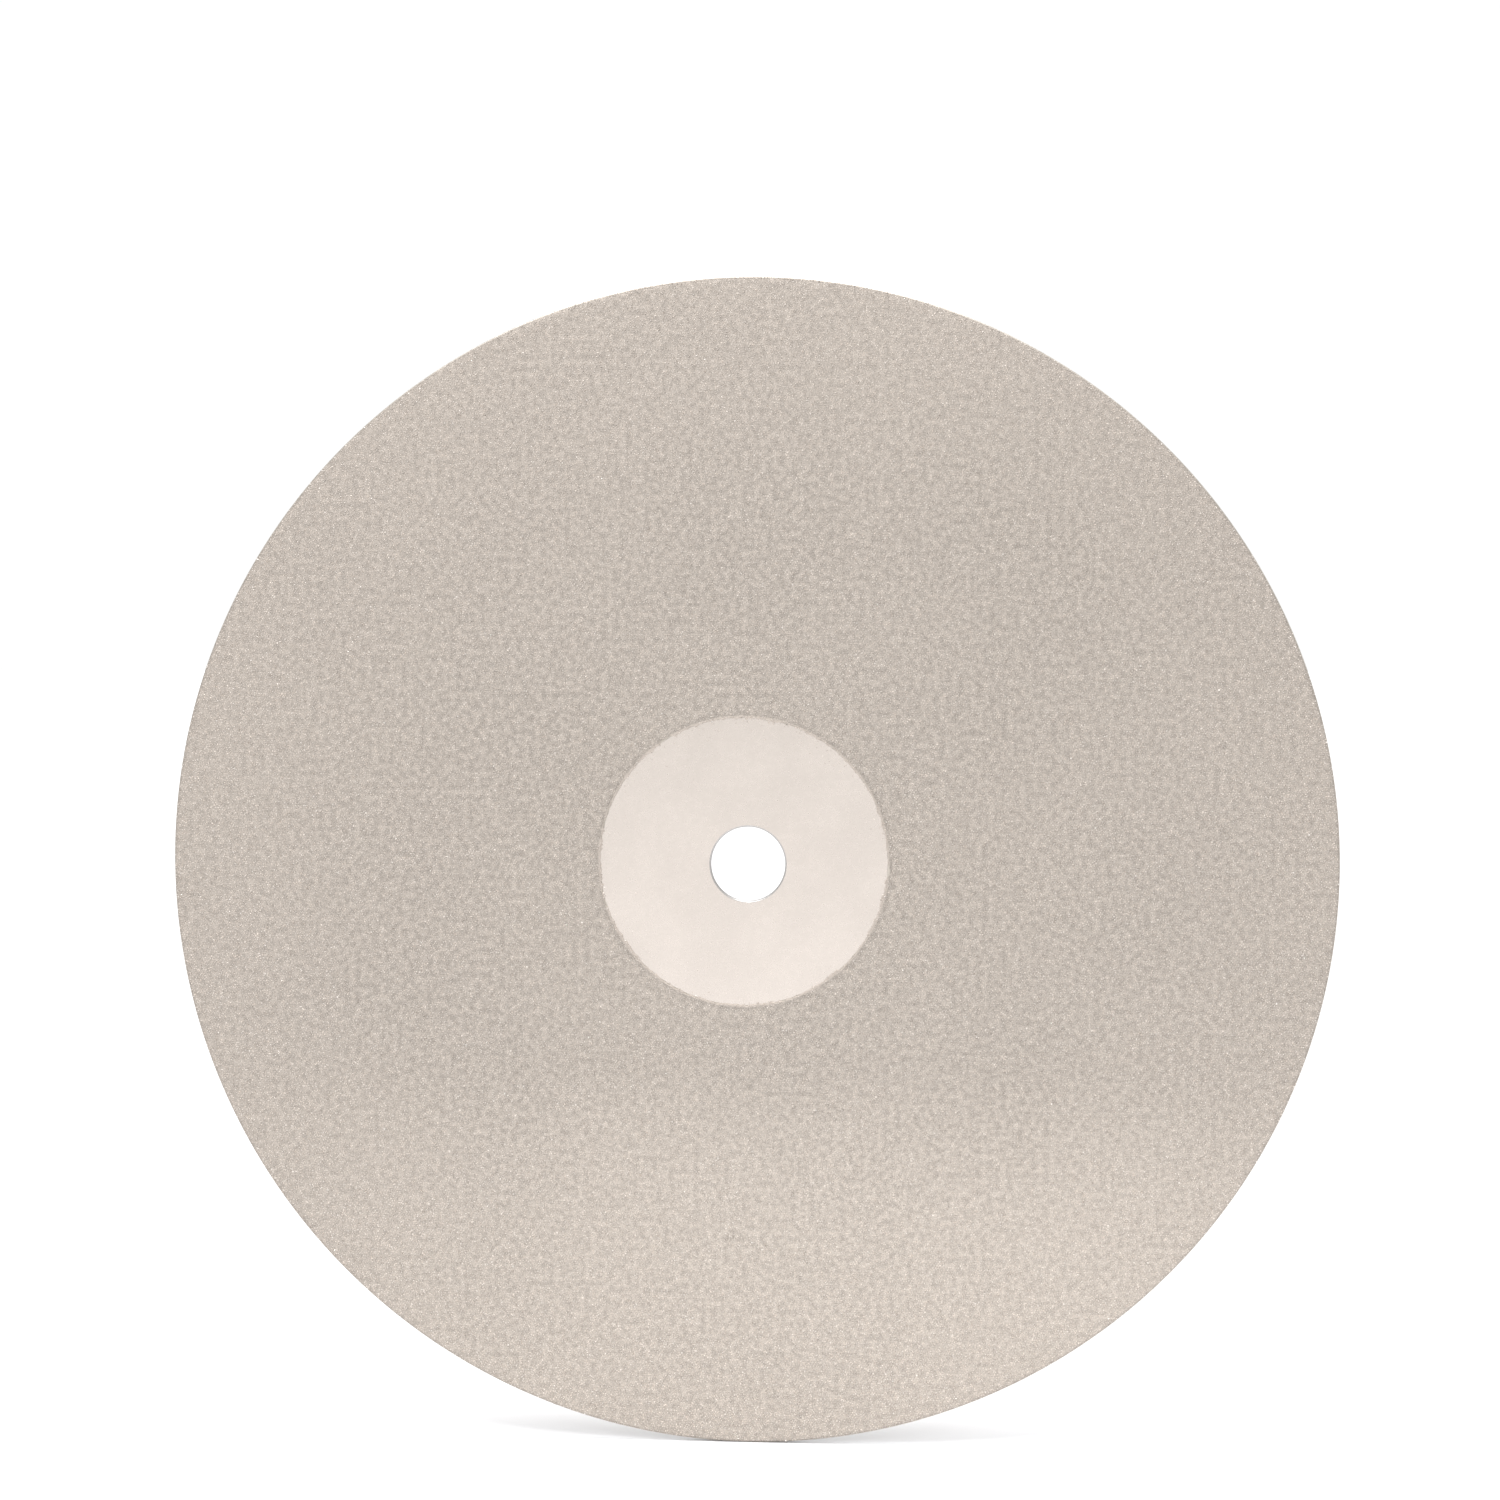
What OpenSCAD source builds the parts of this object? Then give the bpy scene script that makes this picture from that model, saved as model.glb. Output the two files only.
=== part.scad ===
// Diamond grinding wheel: a flat steel plate that carries one layer of diamond grains in plated nickel.
// The grains run out to the rim, and a round bare centre is left where the arbor's washer clamps.
//
// The wheel stands on its rim. Its axis lies along Y, the grains face -Y, +Z is up, and the origin is
// the middle of the arbor bore. Each module builds its piece lying flat, with the grains up, and
// upright() turns it to face -Y.

/* [Steel plate] */
// Outside diameter of the wheel
wheel_d = 200; // [120:1:300]
// Thickness of the steel plate
plate_t = 1.0; // [0.8:0.1:2]
// Broken edge at the rim, on both faces
rim_break = 0.15; // [0.05:0.05:0.3]

/* [Arbor bore] */
// Diameter of the arbor bore
bore_d = 12.7; // [8:0.1:25.4]
// Broken edge of the bore, on the grain side
bore_break_front = 0.3; // [0.1:0.05:0.35]
// Broken edge of the bore, on the back
bore_break_back = 0.2; // [0.1:0.05:0.3]

/* [Nickel plating] */
// Thickness of the first nickel coat, under the abrasive
strike_t = 0.03; // [0.02:0.01:0.06]
// Thickness of the nickel on the bare centre
centre_plating_t = 0.03; // [0.02:0.01:0.06]
// Thickness of the nickel on the back
back_plating_t = 0.03; // [0.02:0.01:0.06]

/* [Diamond abrasive] */
// Mean size of a diamond grain
grain_size = 0.33; // [0.15:0.01:0.4]
// Share of each grain that the nickel bond covers
buried_share = 0.6; // [0.5:0.05:0.7]

/* [Bare centre] */
// Diameter of the circle that the grains leave bare
bare_d = 50; // [40:1:80]
// How far the bare centre lies off the bore, towards +X
bare_shift_x = -0.8; // [-1.5:0.1:1.5]
// How far the bare centre lies off the bore, upwards
bare_shift_z = 0.4; // [-1.5:0.1:1.5]
// Width of the nickel lip that plating builds up inside that circle, along the edge of the mask
lip_w = 0.3; // [0.2:0.1:0.8]
// Height of that lip over the bond
lip_h = 0.05; // [0.02:0.01:0.08]

/* [Hidden] */
wheel_r = wheel_d / 2;
face_r = wheel_r - rim_break;
bore_r = bore_d / 2;
bare_r = bare_d / 2;
mask_r = bare_r - lip_w;
bond_t = grain_size * buried_share;
grain_proud = grain_size - bond_t;
plate_top = plate_t / 2;
plate_back = -plate_t / 2;
strike_top = plate_top + strike_t;
bond_top = strike_top + bond_t;
cut = 1;
$fn = 180;

// Turns a piece from lying flat, grains up, to standing with its grains towards -Y
module upright() {
  rotate([90, 0, 0]) children();
}

// Moves a piece to the middle of the bare centre
module at_bare_centre() {
  translate([bare_shift_x, bare_shift_z, 0]) children();
}

// A flat layer that runs out to the rim's broken edge, with a round opening at the bare centre
module face_layer(level, thickness, opening_r) {
  difference() {
    translate([0, 0, level]) cylinder(r = face_r, h = thickness);
    at_bare_centre() translate([0, 0, level - cut]) cylinder(r = opening_r, h = thickness + 2 * cut);
  }
}

// The blank: a punched disc with its rim and bore edges broken
module steel_plate() {
  color("#b8b5ae") upright() rotate_extrude()
    polygon([
      [bore_r + bore_break_back, plate_back],
      [face_r, plate_back],
      [wheel_r, plate_back + rim_break],
      [wheel_r, plate_top - rim_break],
      [face_r, plate_top],
      [bore_r + bore_break_front, plate_top],
      [bore_r, plate_top - bore_break_front],
      [bore_r, plate_back + bore_break_back]
    ]);
}

// The first thin coat of nickel, between the steel and the bond
module front_strike() {
  color("#a8a296") upright() face_layer(plate_top, strike_t, mask_r);
}

// The nickel that holds the grains, with its lip round the bare centre
module nickel_bond() {
  color("#b3aa9e") upright() {
    face_layer(strike_top, bond_t, mask_r);
    at_bare_centre() translate([0, 0, bond_top]) rotate_extrude()
      polygon([[mask_r, 0], [mask_r, lip_h], [mask_r + lip_w / 2, lip_h], [bare_r, 0]]);
  }
}

// The single layer of grains, as deep as the grains stand out of the bond
module diamond_grains() {
  color("#c8beb4") upright() face_layer(bond_top, grain_proud, bare_r);
}

// The nickel on the bare centre, where the arbor's washer clamps
module centre_plating() {
  color("#ebe1d8") upright() difference() {
    at_bare_centre() translate([0, 0, plate_top]) cylinder(r = mask_r, h = centre_plating_t);
    translate([0, 0, plate_top - cut]) cylinder(r = bore_r + bore_break_front, h = centre_plating_t + 2 * cut);
  }
}

// The nickel on the back, which lies on the machine's turntable
module back_plating() {
  color("#d4cec4") upright() translate([0, 0, plate_back - back_plating_t]) difference() {
    cylinder(r = face_r, h = back_plating_t);
    translate([0, 0, -cut]) cylinder(r = bore_r + bore_break_back, h = back_plating_t + 2 * cut);
  }
}

steel_plate();
front_strike();
nickel_bond();
diamond_grains();
centre_plating();
back_plating();
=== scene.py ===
import math

import bpy
import numpy as np
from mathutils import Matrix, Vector


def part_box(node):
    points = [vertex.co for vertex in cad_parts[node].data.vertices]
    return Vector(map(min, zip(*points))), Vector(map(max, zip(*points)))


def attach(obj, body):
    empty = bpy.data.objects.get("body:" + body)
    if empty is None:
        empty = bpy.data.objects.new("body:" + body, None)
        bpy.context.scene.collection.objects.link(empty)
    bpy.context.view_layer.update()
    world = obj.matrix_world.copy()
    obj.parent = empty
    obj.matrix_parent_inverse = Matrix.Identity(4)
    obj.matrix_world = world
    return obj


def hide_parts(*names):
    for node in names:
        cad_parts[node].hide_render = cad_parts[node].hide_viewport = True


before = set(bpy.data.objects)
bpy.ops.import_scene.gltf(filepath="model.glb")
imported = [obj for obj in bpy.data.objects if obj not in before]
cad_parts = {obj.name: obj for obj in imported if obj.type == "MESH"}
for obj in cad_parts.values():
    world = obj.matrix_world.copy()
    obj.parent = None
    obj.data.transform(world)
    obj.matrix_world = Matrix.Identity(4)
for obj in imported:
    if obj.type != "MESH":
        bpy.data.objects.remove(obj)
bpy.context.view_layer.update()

# The wheel stands on its rim with its grains towards -Y. In this script a height is how far a point
# lies in front of the plate's middle plane, so a point at height h has y = -h.
MM = 0.001
steel_low, steel_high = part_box("steel_plate")
bond_low, bond_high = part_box("nickel_bond")
grain_low, grain_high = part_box("diamond_grains")
centre_low, centre_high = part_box("centre_plating")

WHEEL_R = steel_high.x
FACE_R = grain_high.x
STRIKE_TOP = -bond_high.y
LIP_TOP = -bond_low.y
BOND_TOP = -grain_high.y
GRAIN_TIP = -grain_low.y
BARE_X = (centre_low.x + centre_high.x) / 2
BARE_Z = (centre_low.z + centre_high.z) / 2
MASK_R = (centre_high.x - centre_low.x) / 2


def opening_radius(node, across=0.0, up=0.0):
    """The radius of a layer's round opening, measured from the wheel's axis or from a point beside it."""
    return min(math.hypot(v.co.x - across, v.co.z - up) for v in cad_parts[node].data.vertices)


BARE_R = opening_radius("diamond_grains", BARE_X, BARE_Z)
BORE_R = opening_radius("steel_plate")
FRONT_OPENING_R = opening_radius("centre_plating")
BACK_OPENING_R = opening_radius("back_plating")


# ---------------------------------------------------------------- finishes


# The nickel's tints. Painted shade makes the bond darkest in the hollows between its knobs and grains,
# and its lip at the mask is palest.
BOND_HOLLOW_SHADE = (0.309, 0.279, 0.245, 1.0)
BOND_HIGH = (0.515, 0.465, 0.420, 1.0)
LIP_TINT = (0.52, 0.47, 0.425, 1.0)
CENTRE_TINT = (0.602, 0.546, 0.496, 1.0)
BACK_TINT = (0.62, 0.57, 0.51, 1.0)


class Signal:
    """The output of a node in a finish. Arithmetic on it adds Math nodes."""

    def __init__(self, finish, socket):
        self.finish = finish
        self.socket = socket

    def maths(self, operation, *values):
        return self.finish.node("Math", {"operation": operation}, dict(enumerate(values)))

    def __add__(self, other):
        return self.maths("ADD", self, other)

    def __sub__(self, other):
        return self.maths("SUBTRACT", self, other)

    def __rsub__(self, other):
        return self.maths("SUBTRACT", other, self)

    def __mul__(self, other):
        return self.maths("MULTIPLY", self, other)

    __radd__ = __add__
    __rmul__ = __mul__

    def rise(self, low, high):
        """0 below low and 1 above high, with a smooth slope between them."""
        inputs = {"Value": self, "From Min": low, "From Max": high}
        return self.finish.node("MapRange", {"interpolation_type": "SMOOTHSTEP"}, inputs)


class Finish:
    """A material made of nodes, which all end in one Principled shader."""

    def __init__(self, name, **sockets):
        self.material = bpy.data.materials.new(name)
        self.material.use_nodes = True
        self.tree = self.material.node_tree
        self.shader = self.tree.nodes["Principled BSDF"]
        self.surface(**sockets)

    def feed(self, socket, value):
        if isinstance(value, Signal):
            self.tree.links.new(value.socket, socket)
        else:
            socket.default_value = value

    def node(self, kind, settings, inputs, output=0):
        made = self.tree.nodes.new("ShaderNode" + kind)
        for name, setting in settings.items():
            setattr(made, name, setting)
        for name, value in inputs.items():
            self.feed(made.inputs[name], value)
        return Signal(self, made.outputs[output])

    def surface(self, **sockets):
        """Feeds the shader's sockets, with _ for a space in their names."""
        for name, value in sockets.items():
            self.feed(self.shader.inputs[name.replace("_", " ")], value)

    def spot(self, stretch=(1, 0, 1)):
        """Where a point lies, in millimetres. With no stretch along Y, a pattern goes straight through."""
        place = self.node("TexCoord", {}, {}, "Object")
        scale = [s / MM for s in stretch]
        return self.node("VectorMath", {"operation": "MULTIPLY"}, {0: place, 1: scale})

    def noise(self, place, size, detail=2.0, rough=0.5):
        """A cloudy pattern whose blotches are about size millimetres across."""
        inputs = {"Vector": place, "Scale": 1 / size, "Detail": detail, "Roughness": rough}
        return self.node("TexNoise", {}, inputs)

    def blend(self, share, one, other):
        """A colour that goes from one to other as share goes from 0 to 1."""
        return self.node("Mix", {"data_type": "RGBA"}, {0: share, 6: one, 7: other}, 2)

    def bump(self, height, depth, strength=1.0):
        """A normal that a pattern's height dents, by up to depth millimetres."""
        inputs = {"Height": height, "Distance": depth * MM, "Strength": strength}
        return self.node("Bump", {}, inputs)


def colour(red, green, blue):
    return (red, green, blue, 1.0)


def shade(tint, level):
    """The tint made level times as light."""
    return colour(*(part * level for part in tint[:3]))


def reach(finish, across=0.0, up=0.0):
    """How far a point lies from the wheel's axis, or from a parallel axis, in millimetres."""
    middle = (across / MM, 0, up / MM)
    offset = finish.node("VectorMath", {"operation": "SUBTRACT"}, {0: finish.spot(), 1: middle})
    return finish.node("VectorMath", {"operation": "LENGTH"}, {0: offset}, "Value")


def face_tone(finish, tint):
    """A tint as it shows on the working face.

    Clumps a few grains across lie under slow clouds. The face gets lighter towards the rim, and a thin line
    of painted shade darkens it along both of its edges, beside the bare centre and at the rim.
    """
    bare, rim = BARE_R / MM, FACE_R / MM
    clumps = finish.noise(finish.spot(), 1.05).rise(0.3, 0.7)
    clouds = finish.noise(finish.spot(), 34.0, 3).rise(0.3, 0.7)
    from_bare = reach(finish, BARE_X, BARE_Z)
    # Painted shade: a dark band just outside the bare centre, and another over the outermost half millimetre
    # at the rim.
    bare_brink_shade = from_bare.rise(bare - 0.1, bare) - from_bare.rise(bare + 0.2, bare + 0.9)
    brink_shade = bare_brink_shade * 0.5 + reach(finish).rise(rim - 0.5, rim)
    tone = finish.blend(clumps, shade(tint, 0.87), shade(tint, 1.13))
    tone = finish.blend(clouds * 0.12, tone, shade(tint, 1.25))
    tone = finish.blend(reach(finish).rise(60, rim) * 0.12, tone, shade(tint, 1.3))
    # Both edges of the face are darkened here with painted shade.
    return finish.blend(brink_shade * 0.35, tone, shade(tint, 0.55))


def flashed_steel():
    """The rim and the darker bore: punched steel, streaked across the cut, under a thin flash of nickel."""
    finish = Finish("flashed_steel", Metallic=1.0)
    streaks = finish.noise(finish.spot((1, 0.06, 1)), 0.4, 4)
    patches = finish.noise(finish.spot((1, 1, 1)), 6.0, 3)
    bore = FRONT_OPENING_R / MM
    tone = finish.blend(streaks.rise(0.3, 0.7), colour(0.46, 0.43, 0.39), colour(0.62, 0.58, 0.53))
    tone = finish.blend(patches.rise(0.4, 0.7) * 0.35, tone, colour(0.66, 0.61, 0.54))
    # Inside the bore the steel is painted darker grey, as shade in the hole.
    bore_shade = 1 - reach(finish).rise(bore, bore + 1)
    finish.surface(
        Base_Color=finish.blend(bore_shade * 0.6, tone, colour(0.30, 0.30, 0.31)),
        Roughness=0.28 + streaks * 0.3,
        Normal=finish.bump(streaks, 0.02, 0.6),
    )
    return finish.material


def dull_nickel():
    """The first coat, seen as a line at the rim and where the bond stops short of the mask."""
    finish = Finish("dull_nickel", Metallic=1.0)
    cloud = finish.noise(finish.spot(), 1.5, 3)
    finish.surface(
        Base_Color=finish.blend(cloud, colour(0.46, 0.42, 0.37), colour(0.55, 0.51, 0.45)),
        Roughness=0.4 + cloud * 0.2,
    )
    return finish.material


def matrix_nickel():
    """The bond: matt, knobbly nickel between the grains, and a paler lip where the mask ended."""
    finish = Finish("matrix_nickel", Metallic=1.0)
    bare = BARE_R / MM
    knobs = finish.noise(finish.spot(), 0.22, 3)
    lip = 1 - reach(finish, BARE_X, BARE_Z).rise(bare - 0.12, bare + 0.1)
    # The knobs' hollows get the darker tint, which is painted shade.
    tone = finish.blend(knobs.rise(0.25, 0.75), face_tone(finish, BOND_HOLLOW_SHADE), face_tone(finish, BOND_HIGH))
    finish.surface(
        Base_Color=finish.blend(lip, tone, LIP_TINT),
        Roughness=0.5 + knobs * 0.2 + lip * 0.12,
        Normal=finish.bump(knobs, 0.06, 0.8),
    )
    return finish.material


def grain_finish(name, tint, roughness, film):
    """One lot of grains. The film is how far nickel veils the patches that it crept over."""
    finish = Finish(name, IOR=2.1)
    veil = finish.noise(finish.spot(), 0.5, 1).rise(0.45, 0.6)
    finish.surface(
        Base_Color=face_tone(finish, tint),
        Metallic=veil * film,
        Roughness=roughness + veil * 0.12,
    )
    return finish.material


def satin_nickel():
    """The bare centre: pale satin nickel over a blasted plate."""
    finish = Finish("satin_nickel", Metallic=1.0)
    mottle = finish.noise(finish.spot(), 1.3, 4)
    cloud = finish.noise(finish.spot(), 11.0, 2)
    specks = finish.noise(finish.spot(), 0.35, 1).rise(0.66, 0.74)
    tone = finish.blend(mottle.rise(0.3, 0.7), shade(CENTRE_TINT, 1.02), shade(CENTRE_TINT, 1.055))
    tone = finish.blend(cloud.rise(0.35, 0.65) * 0.4, tone, shade(CENTRE_TINT, 0.94))
    finish.surface(
        Base_Color=finish.blend(specks * 0.15, tone, shade(CENTRE_TINT, 0.6)),
        Roughness=0.24 + mottle * 0.06,
        Normal=finish.bump(finish.noise(finish.spot(), 0.25, 2), 0.004, 0.5),
    )
    return finish.material


def back_nickel():
    """The back: nickel over a plate that was ground in circles, which the plating softens."""
    finish = Finish("back_nickel", Metallic=1.0)
    waver = finish.noise(finish.spot(), 30.0, 1) * 3
    rings = finish.noise(finish.node("CombineXYZ", {}, {"X": reach(finish), "Y": waver}), 0.5, 4, 0.65)
    cloud = finish.noise(finish.spot(), 18.0, 3)
    pits = finish.noise(finish.spot(), 0.6, 1).rise(0.68, 0.75)
    tone = finish.blend(rings.rise(0.25, 0.75), shade(BACK_TINT, 0.95), shade(BACK_TINT, 1.05))
    tone = finish.blend(cloud.rise(0.35, 0.7) * 0.4, tone, shade(BACK_TINT, 0.9))
    finish.surface(
        Base_Color=finish.blend(pits * 0.3, tone, shade(BACK_TINT, 0.6)),
        Roughness=0.34 + rings * 0.12 + cloud * 0.08,
        Normal=finish.bump(rings, 0.01, 0.4),
    )
    return finish.material


def pale_floor():
    finish = Finish("pale_floor", Roughness=0.6)
    cloud = finish.noise(finish.spot((1, 1, 1)), 300.0, 2)
    finish.surface(Base_Color=finish.blend(cloud, colour(0.68, 0.68, 0.695), colour(0.70, 0.70, 0.71)))
    return finish.material


# ---------------------------------------------------------------- shapes


# The square that a mapped piece is laid out on is a little wider than the wheel.
LAYOUT_WIDTH = 2.02 * WHEEL_R
# Edges of a ring that turn more sharply than this stay crisp.
CRISP_ANGLE = math.radians(50)


def upright(flat):
    """Turns points that lie flat, as (across, up, height), to the standing wheel's frame."""
    return np.stack([flat[..., 0], -flat[..., 2], flat[..., 1]], -1)


def solid(name, corners, faces, finish, mapped):
    """A piece of the wheel from its corners and faces. A mapped piece is laid out as seen from the front."""
    mesh = bpy.data.meshes.new(name)
    mesh.from_pydata(corners, [], faces)
    mesh.materials.append(finish)
    if mapped:
        places = np.empty(len(mesh.loops), np.int32)
        mesh.loops.foreach_get("vertex_index", places)
        seen = corners[places][:, [0, 2]] / LAYOUT_WIDTH + 0.5
        layout = mesh.uv_layers.new(name="OFBake", do_init=False)
        layout.uv.foreach_set("vector", seen.astype(np.float32).ravel())
    piece = bpy.data.objects.new(name, mesh)
    bpy.context.scene.collection.objects.link(piece)
    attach(piece, "root")
    return piece


# The mask's edge wanders off its circle at each knot, and by a steadier amount over every run of knots.
KNOTS = 300
RUN = 5
KNOT_SHIFT = 0.12 * MM
RUN_SHIFT = 0.1 * MM
edge_rng = np.random.default_rng(46)
EDGE_SHIFT = edge_rng.normal(0, KNOT_SHIFT, KNOTS)
EDGE_SHIFT += np.repeat(edge_rng.normal(0, RUN_SHIFT, KNOTS // RUN), RUN)


def mask_wander(angle):
    """How far the mask's edge wanders off its circle at each angle round the bare centre."""
    turn = (angle / (2 * math.pi)) % 1 * KNOTS
    return np.interp(turn, np.arange(KNOTS + 1), np.append(EDGE_SHIFT, EDGE_SHIFT[0]))


def ring(name, across, up, height, finish, mapped):
    """A closed ring from rows of corners that follow one another once round its section."""
    corners = upright(np.stack([across, up, height], -1)).reshape(-1, 3)
    rows, steps = across.shape
    row = np.arange(rows)[:, None]
    step = np.arange(steps)[None, :]
    next_row, next_step = (row + 1) % rows, (step + 1) % steps
    ends = ((row, step), (next_row, step), (next_row, next_step), (row, next_step))
    quads = np.stack([np.broadcast_to(r * steps + t, (rows, steps)) for r, t in ends], -1)
    piece = solid(name, corners, quads.reshape(-1, 4), finish, mapped)
    piece.data.shade_smooth()
    piece.data.set_sharp_from_angle(angle=CRISP_ANGLE)
    return piece


def worn_edge(start, end, bulge):
    """Points from start to end over a broken edge, rounded by bulge times its width."""
    start, end = np.array(start), np.array(end)
    out = np.array([end[1] - start[1], start[0] - end[0]]) * bulge
    way = np.linspace(0, 1, 6)[:, None]
    return (start + (end - start) * way + out * np.sin(math.pi * way)).tolist()


# The share of its width by which each broken edge of the plate is rounded outwards
RIM_BULGE = -0.2
BORE_BULGE = -0.15
PLATE_STEPS = 720
# A row of corners this far in from each broken edge keeps the flats' shading flat.
PLATE_MARGIN = 0.5 * MM


def steel_piece():
    """The steel plate, punched round, with four broken edges. Its outline goes once round its section."""
    front, back = -steel_low.y, -steel_high.y
    rim_break = WHEEL_R - FACE_R
    front_break, back_break = FRONT_OPENING_R - BORE_R, BACK_OPENING_R - BORE_R
    outline = [
        *worn_edge((FACE_R, front), (WHEEL_R, front - rim_break), RIM_BULGE),
        *worn_edge((WHEEL_R, back + rim_break), (FACE_R, back), RIM_BULGE),
        (FACE_R - PLATE_MARGIN, back),
        (BACK_OPENING_R + PLATE_MARGIN, back),
        *worn_edge((BACK_OPENING_R, back), (BORE_R, back + back_break), BORE_BULGE),
        *worn_edge((BORE_R, front - front_break), (FRONT_OPENING_R, front), BORE_BULGE),
        (FRONT_OPENING_R + PLATE_MARGIN, front),
        (FACE_R - PLATE_MARGIN, front),
    ]
    radius, height = np.array(outline).T[:, :, None]
    angle = np.linspace(0, 2 * math.pi, PLATE_STEPS, endpoint=False)
    shape = (len(outline), len(angle))
    across, up = radius * np.cos(angle), radius * np.sin(angle)
    height = np.broadcast_to(height, shape)
    piece = ring("punched_plate", across, up, height, flashed_steel(), False)
    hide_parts("steel_plate")


BOND_STEPS = 512
SHOULDER_WIDTH = 0.2 * MM
SHOULDER_DROP = 0.1 * MM
KNOB_HEIGHT = 0.012 * MM


def bond_outline():
    """The bond's section as (share of the way from the mask to the rim, height), once round the solid."""
    width = FACE_R - MASK_R
    lip = (BARE_R - MASK_R) / width
    shoulder = SHOULDER_WIDTH / width
    rise = LIP_TOP - BOND_TOP
    crown = [(lip * t, BOND_TOP + rise * math.sin(math.pi * t) ** 2) for t in np.linspace(0, 1, 9)]
    flats = [(share, BOND_TOP) for share in np.linspace(lip, 1 - shoulder, 90)[1:]]
    fall = [(1 - (1 - t) * shoulder, BOND_TOP - SHOULDER_DROP * t * t) for t in (0.4, 0.7, 1.0)]
    return np.array([(0.0, STRIKE_TOP), *crown, *flats, *fall, (1.0, STRIKE_TOP)])


def bond_piece():
    """The bond as one closed ring: a wandering inner lip, a knobbly face and a round shoulder at the rim."""
    outline = bond_outline()
    angle = np.linspace(0, 2 * math.pi, BOND_STEPS, endpoint=False)
    share = outline[:, 0][:, None]
    inner = MASK_R + mask_wander(angle)
    across = (1 - share) * (BARE_X + inner * np.cos(angle)) + share * FACE_R * np.cos(angle)
    up = (1 - share) * (BARE_Z + inner * np.sin(angle)) + share * FACE_R * np.sin(angle)
    knobs = np.random.default_rng(7).normal(0, KNOB_HEIGHT, across.shape)
    on_face = outline[:, 1] > STRIKE_TOP
    height = outline[:, 1][:, None] + knobs * on_face[:, None]
    piece = ring("nickel_matrix", across, up, height, matrix_nickel(), True)
    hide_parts("nickel_bond")


GRAIN_PITCH = 0.45 * MM
GRAIN_SIZE = 0.33 * MM
GRAIN_SIZE_SPREAD = 0.035 * MM
SMALLEST_GRAIN = 0.24 * MM
LARGEST_GRAIN = 0.42 * MM
# How far each grain is shaken out of its row, as a share of the pitch
SHAKE = 0.22
STRAY_GRAINS = 240

# How far a crystal's foot reaches into the bond, and its shares of the crystal's radius: the foot's width,
# a flat top's width, and how far a point leans off the middle
GRAIN_FOOT = 0.06 * MM
FOOT_SHARE = 1.1
TOP_SHARE = 0.55
LEAN_SHARE = 0.35

# Crystal habits as (corners of the foot, corners of the top, share of the grains). A top of one is a point.
HABITS = ((3, 1, 0.25), (4, 1, 0.45), (3, 3, 0.30))


def crystal_faces(foot, top):
    """The faces of one crystal: foot corners come first, then the top's."""
    under = [list(range(foot - 1, -1, -1))]
    if top == 1:
        return under + [[k, (k + 1) % foot, foot] for k in range(foot)]
    sides = []
    for k in range(foot):
        after = (k + 1) % foot
        sides += [[k, after, foot + k], [after, foot + after, foot + k]]
    return under + sides + [list(range(foot, foot + top))]


def crystals(rng, across, up, ground, size, foot, top):
    """Corners and faces of many crystals of one habit that stand on the ground height given."""
    count = len(across)
    turn = rng.uniform(0, 2 * math.pi, (count, 1))

    def corner_ring(number, radius, height):
        angle = turn + np.arange(number) * 2 * math.pi / number + rng.normal(0, 0.22, (count, number))
        out = radius * rng.uniform(0.75, 1.25, (count, number))
        return np.stack([out * np.cos(angle), out * np.sin(angle), height], -1)

    radius = size[:, None] / 2
    proud = (GRAIN_TIP - BOND_TOP) * size[:, None] / np.mean(size)
    bottom = corner_ring(foot, radius * FOOT_SHARE, np.full((count, foot), -GRAIN_FOOT))
    if top == 1:
        peak = proud * rng.uniform(0.8, 1.25, (count, 1))
        crown = corner_ring(1, radius * LEAN_SHARE, peak)
    else:
        tilt = rng.uniform(0.75, 1.15, (count, top))
        crown = corner_ring(top, radius * TOP_SHARE, proud * tilt)
    corners = np.concatenate([bottom, crown], 1)
    corners[..., 0] += across[:, None]
    corners[..., 1] += up[:, None]
    corners[..., 2] += ground[:, None]
    first = np.arange(count) * (foot + top)
    faces = []
    for face in crystal_faces(foot, top):
        faces += (first[:, None] + np.array(face)).tolist()
    return upright(corners).reshape(-1, 3), faces


def grain_places(rng):
    """The middles of the grains: close-packed rows, shaken, from the mask's wandering edge to the rim.

    The chance that a grain is there goes from 0 to 1 over the blur, which starts a little before the edge.
    """
    before, blur = 0.5 * MM, 0.7 * MM
    rim_margin = 0.08 * MM
    rows = np.arange(-FACE_R, FACE_R, GRAIN_PITCH * math.sqrt(3) / 2)
    columns = np.arange(-FACE_R, FACE_R, GRAIN_PITCH)
    across, up = np.meshgrid(columns, rows)
    across = across + (np.arange(len(rows))[:, None] % 2) * GRAIN_PITCH / 2
    across = across + rng.normal(0, GRAIN_PITCH * SHAKE, across.shape)
    up = up + rng.normal(0, GRAIN_PITCH * SHAKE, up.shape)
    across, up = across.ravel(), up.ravel()
    from_bare = np.hypot(across - BARE_X, up - BARE_Z)
    edge = BARE_R + mask_wander(np.arctan2(up - BARE_Z, across - BARE_X))
    chance = (from_bare - edge + before) / blur
    kept = (chance > rng.random(len(across))) & (np.hypot(across, up) < FACE_R - rim_margin)
    return across[kept], up[kept]


def stray_places(rng, number):
    """Grains that crept under the mask: close to its edge, and more of them at the top."""
    angle = rng.uniform(0, 2 * math.pi, number)
    angle = np.where(rng.random(number) < 0.5, rng.normal(math.pi / 2, 0.7, number), angle)
    far = MASK_R - rng.exponential(0.8 * MM, number)
    return BARE_X + far * np.cos(angle), BARE_Z + far * np.sin(angle)


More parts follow.
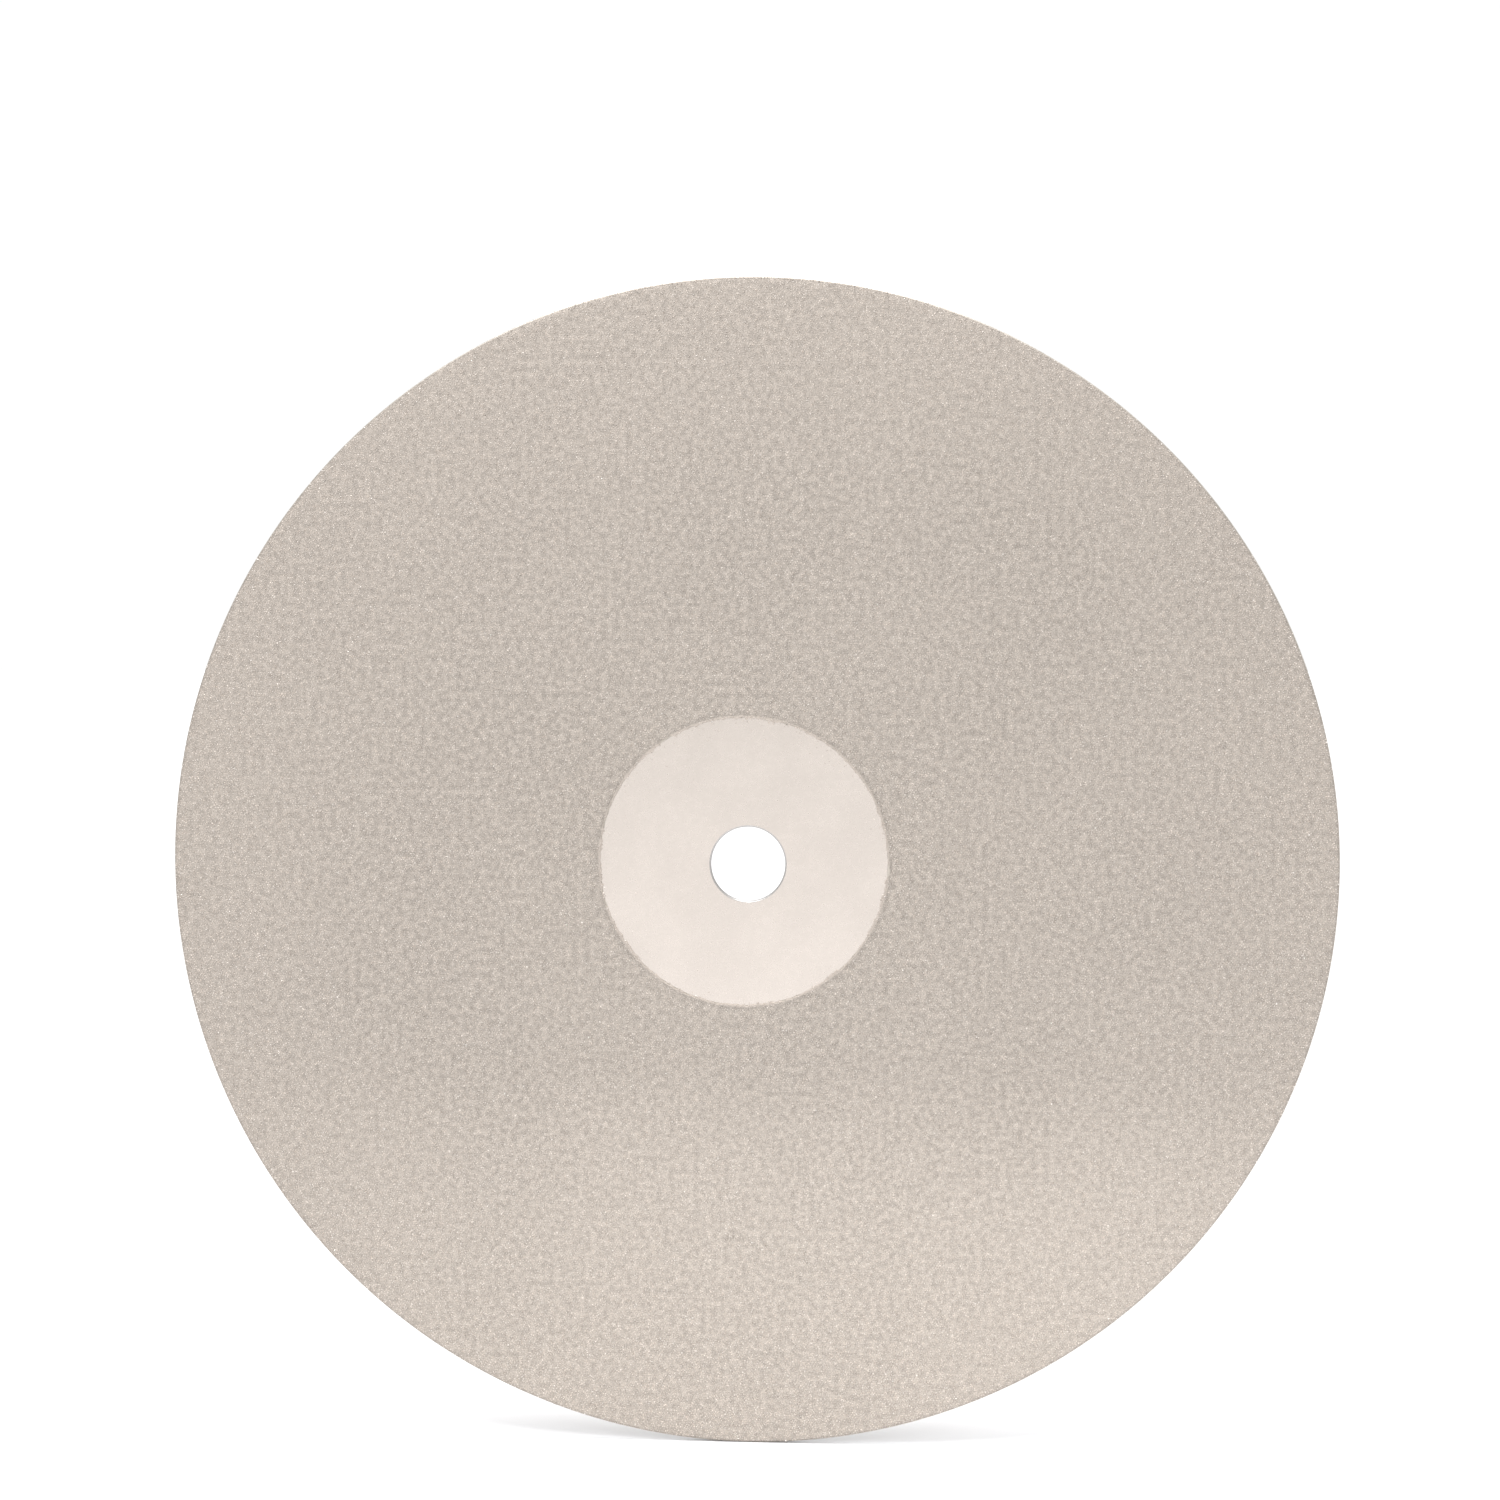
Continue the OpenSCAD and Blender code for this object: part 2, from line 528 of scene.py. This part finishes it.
# The lots of grain as (name, tint, roughness, film of nickel), from almost clear to dark and nickelled
LOTS = (
    ("grains_clear", colour(0.544, 0.499, 0.453), 0.34, 0.3),
    ("grains_straw", colour(0.528, 0.468, 0.414), 0.40, 0.3),
    ("grains_smoke", colour(0.435, 0.389, 0.350), 0.42, 0.3),
    ("grains_grey", colour(0.474, 0.430, 0.391), 0.38, 0.3),
    ("grains_amber", colour(0.497, 0.436, 0.382), 0.42, 0.3),
    ("grains_nickelled", colour(0.537, 0.483, 0.437), 0.47, 1.0),
)


def grain_pieces():
    """Every grain of the single layer, as one piece for each lot."""
    rng = np.random.default_rng(2024)
    across, up = grain_places(rng)
    ground = np.full(len(across), BOND_TOP)
    stray_x, stray_z = stray_places(rng, STRAY_GRAINS)
    across = np.append(across, stray_x)
    up = np.append(up, stray_z)
    ground = np.append(ground, np.full(STRAY_GRAINS, STRIKE_TOP))
    size = rng.normal(GRAIN_SIZE, GRAIN_SIZE_SPREAD, len(across))
    size = size.clip(SMALLEST_GRAIN, LARGEST_GRAIN)
    lot = rng.integers(0, len(LOTS), len(across))
    habit = rng.choice(len(HABITS), len(across), p=[share for _, _, share in HABITS])
    for number, (name, tint, roughness, film) in enumerate(LOTS):
        corners, faces, first = [], [], 0
        for kind, (foot, top, _) in enumerate(HABITS):
            mine = (lot == number) & (habit == kind)
            points, sides = crystals(rng, across[mine], up[mine], ground[mine], size[mine], foot, top)
            corners.append(points)
            faces += [[first + k for k in face] for face in sides]
            first += len(points)
        finish = grain_finish(name, tint, roughness, film)
        piece = solid(name, np.concatenate(corners), faces, finish, True)
        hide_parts("diamond_grains")


def wear(node, finish):
    """Gives a CAD piece its finish."""
    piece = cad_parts[node]
    piece.data.materials.clear()
    piece.data.materials.append(finish)


# ---------------------------------------------------------------- studio


def floor():
    """A plain pale floor that the wheel stands on."""
    half = 100 * WHEEL_R
    corners = [(x * half, y * half, steel_low.z) for x, y in ((-1, -1), (1, -1), (1, 1), (-1, 1))]
    mesh = bpy.data.meshes.new("floor")
    mesh.from_pydata(corners, [], [(0, 1, 2, 3)])
    mesh.materials.append(pale_floor())
    piece = bpy.data.objects.new("floor", mesh)
    bpy.context.scene.collection.objects.link(piece)


def lamp(name, kind, place, aim, power, **settings):
    """A lamp that shines from one place towards another, both in wheel radii. It is never seen itself."""
    data = bpy.data.lights.new(name, kind)
    data.energy = power
    for setting, value in settings.items():
        setattr(data, setting, value)
    made = bpy.data.objects.new(name, data)
    made.location = Vector(place) * WHEEL_R
    made.rotation_euler = (Vector(aim) - Vector(place)).to_track_quat("-Z", "Y").to_euler()
    made.visible_camera = False
    bpy.context.scene.collection.objects.link(made)


def sky(strength):
    """White walls all round."""
    world = bpy.data.worlds.new("studio")
    world.use_nodes = True
    world.node_tree.nodes["Background"].inputs["Color"].default_value = colour(1, 1, 1)
    world.node_tree.nodes["Background"].inputs["Strength"].default_value = strength
    bpy.context.scene.world = world


def camera(azimuth, elevation, distance, aim, lens):
    """The camera, which stands azimuth degrees towards +X from straight ahead of the wheel's middle."""
    side, lift = math.radians(azimuth), math.radians(elevation)
    back = Vector((math.sin(side) * math.cos(lift), -math.cos(side) * math.cos(lift), math.sin(lift)))
    data = bpy.data.cameras.new("camera")
    data.lens = lens
    data.clip_start = 0.01
    data.clip_end = 50.0
    made = bpy.data.objects.new("camera", data)
    made.location = back * distance
    made.rotation_euler = (Vector(aim) - made.location).to_track_quat("-Z", "Y").to_euler()
    bpy.context.scene.collection.objects.link(made)
    bpy.context.scene.camera = made


def lamps():
    """A broad light overhead, a soft key in front of it, and a little light that the table sends up."""
    middle = (0, 0, 0)
    glow = {"shape": "RECTANGLE", "size": 1.6 * WHEEL_R, "size_y": 0.5 * WHEEL_R}
    lamp("ceiling", "SUN", (0.5, -0.8, 14), middle, 3.1, angle=math.radians(9))
    lamp("key", "AREA", (-1.6, -4.3, 6.1), middle, 2.6, size=1.8 * WHEEL_R)
    lamp("table_glow", "AREA", (0.25, -0.9, -0.35), (0.25, -0.9, -1), 0.08, **glow)


# ---------------------------------------------------------------- making


camera(
    azimuth=4.5,
    elevation=4.7,
    distance=4.8 * WHEEL_R,
    aim=(0.003 * WHEEL_R, 0, 0.195 * WHEEL_R),
    lens=67.2,
)
floor()
sky(1.02)
lamps()
bpy.context.scene.view_settings.view_transform = "Standard"

wear("front_strike", dull_nickel())
wear("centre_plating", satin_nickel())
wear("back_plating", back_nickel())
steel_piece()
bond_piece()
grain_pieces()
